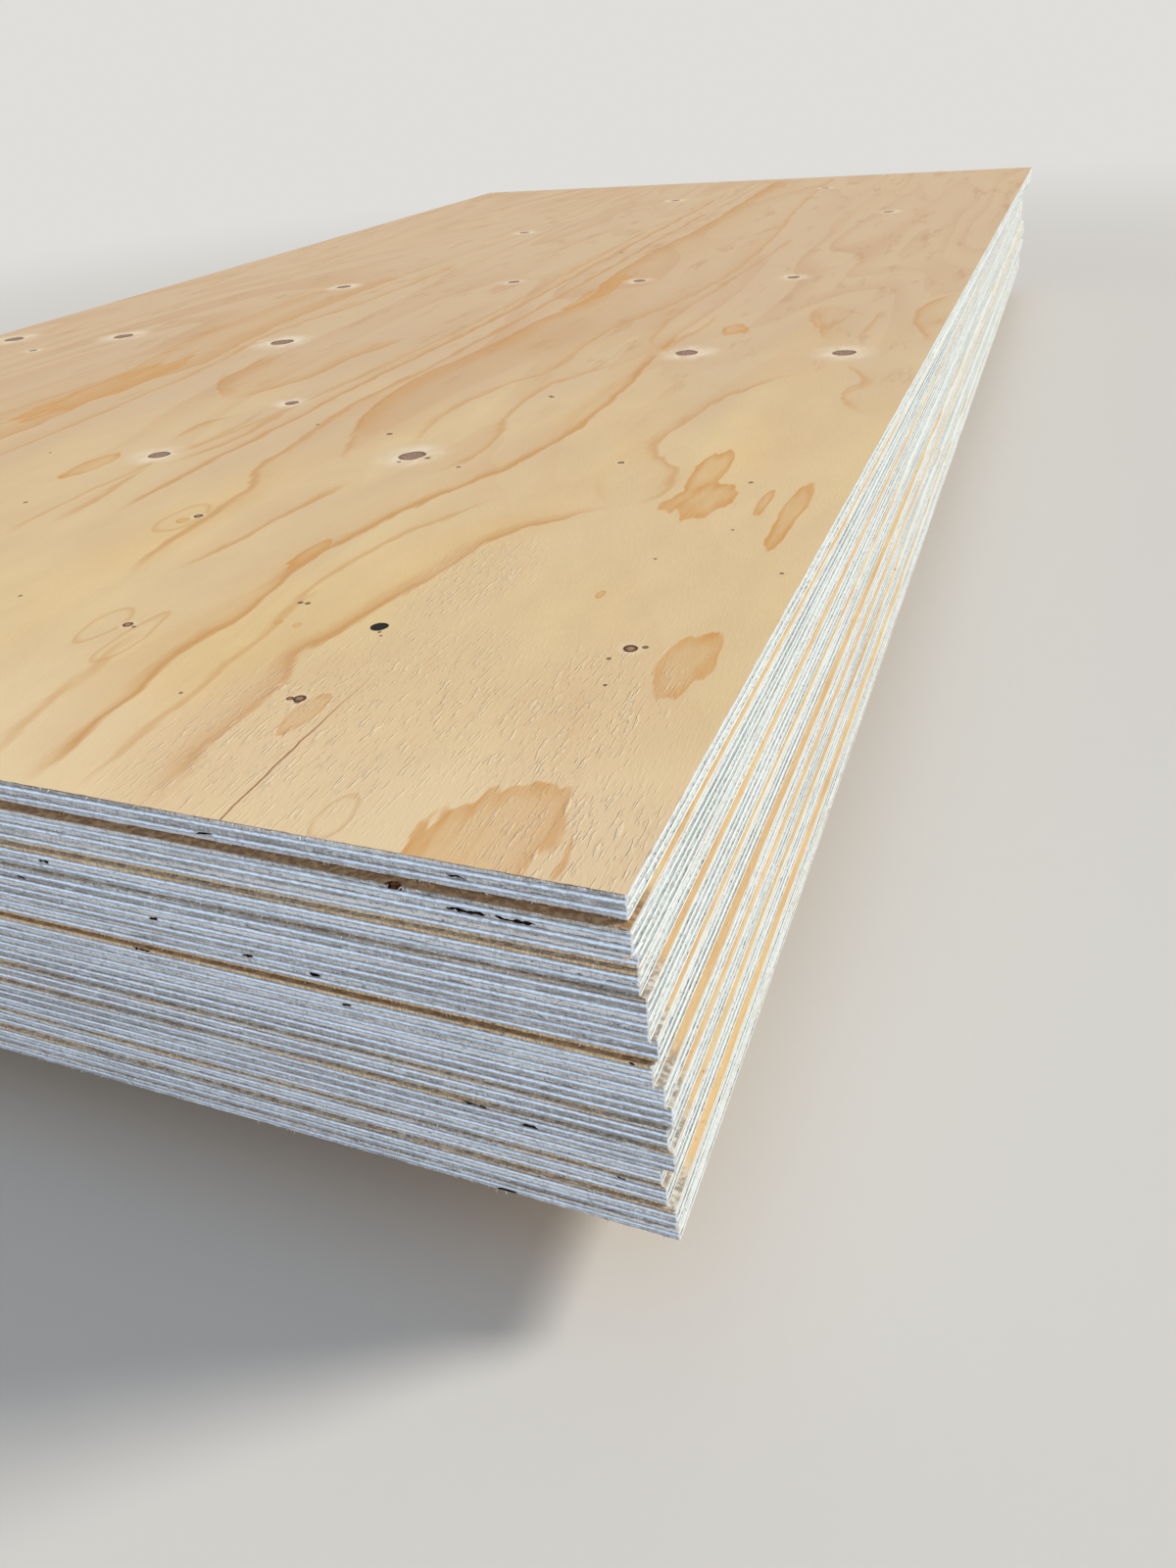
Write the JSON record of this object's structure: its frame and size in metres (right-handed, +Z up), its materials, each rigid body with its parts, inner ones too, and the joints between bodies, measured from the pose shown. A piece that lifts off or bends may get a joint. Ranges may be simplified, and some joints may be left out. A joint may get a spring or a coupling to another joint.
{
  "type": "stack of plywood sheets",
  "caption": "Flat stack of full-size structural plywood sheets with uneven edges, lying on crosswise timber bearers that leave fork gaps under it.",
  "frame": {"origin": "middle of the timbers' underside, under the middle of the sheets", "axes": "+X to the right across the sheets, +Y to the back along the sheets, +Z up through the stack"},
  "size_m": [1.2358, 2.4537, 0.234],
  "materials": {
    "plywood": "rotary-cut softwood veneer, unsanded, with pale sealed edges",
    "bearer_timber": "rough-sawn softwood"
  },
  "bodies": {
    "root": {"sheet_01": "plywood", "sheet_02": "plywood", "sheet_03": "plywood", "sheet_04": "plywood", "sheet_05": "plywood", "sheet_06": "plywood", "sheet_07": "plywood", "sheet_08": "plywood", "sheet_09": "plywood", "sheet_10": "plywood", "sheet_11": "plywood", "sheet_12": "plywood", "sheet_13": "plywood", "sheet_14": "plywood", "sheet_15": "plywood", "base_sheet": "plywood", "bearer_front": "bearer_timber", "bearer_middle": "bearer_timber", "bearer_back": "bearer_timber"}
  },
  "joints": []
}
